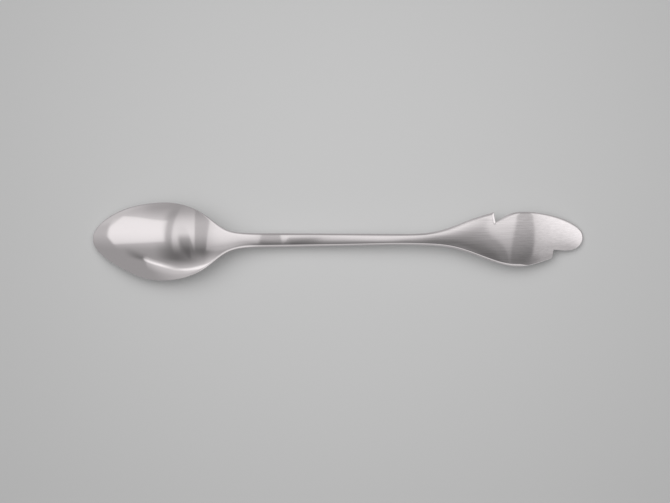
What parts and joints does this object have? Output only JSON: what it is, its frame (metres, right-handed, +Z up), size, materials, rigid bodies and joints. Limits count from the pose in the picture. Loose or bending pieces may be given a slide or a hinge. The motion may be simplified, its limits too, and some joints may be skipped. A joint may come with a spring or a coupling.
{
  "type": "demitasse spoon",
  "caption": "Small polished steel spoon with a pointed bowl, a slim stem and a notched leaf-shaped handle end, lying face down.",
  "frame": {"origin": "on the table under the middle of the spoon's box", "axes": "+X along the spoon from the bowl's tip to the leaf, +Z up from the table out of the spoon's back"},
  "size_m": [0.1098, 0.0175, 0.0073],
  "materials": {
    "steel": "buffed bright, with faint buffing lines along the length"
  },
  "bodies": {
    "root": {"bowl": "steel", "neck": "steel", "stem": "steel", "leaf": "steel"}
  },
  "joints": []
}
